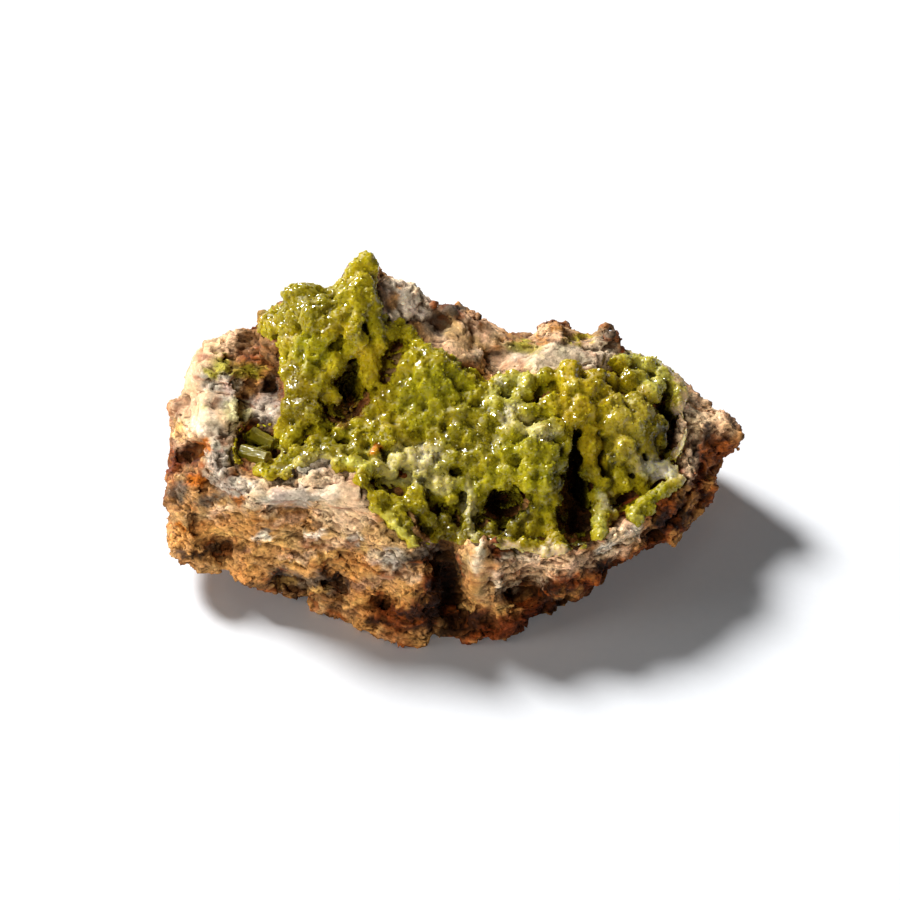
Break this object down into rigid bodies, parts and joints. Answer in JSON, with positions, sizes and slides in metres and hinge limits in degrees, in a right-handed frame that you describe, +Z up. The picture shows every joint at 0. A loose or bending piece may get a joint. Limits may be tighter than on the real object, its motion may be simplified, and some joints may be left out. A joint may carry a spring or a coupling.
{
  "type": "pyromorphite specimen",
  "caption": "Loose piece of rust-stained rock, flat underneath, with a hollow in its upper side lined by a crust of yellow-green crystal balls and fingers.",
  "frame": {"origin": "on the table, under the middle of the specimen's bounding box", "axes": "+X to the right along the length of the rock, -Y toward the viewer and the front wall, +Z up"},
  "size_m": [0.0797, 0.046, 0.0377],
  "materials": {
    "matrix": "rough broken rock, cream and grey at the rim, tan to rusty brown on the walls",
    "pyromorphite": "resinous, slightly translucent yellow-green crystal"
  },
  "bodies": {
    "root": {"matrix": "matrix", "pyromorphite_crust": "pyromorphite"}
  },
  "joints": []
}
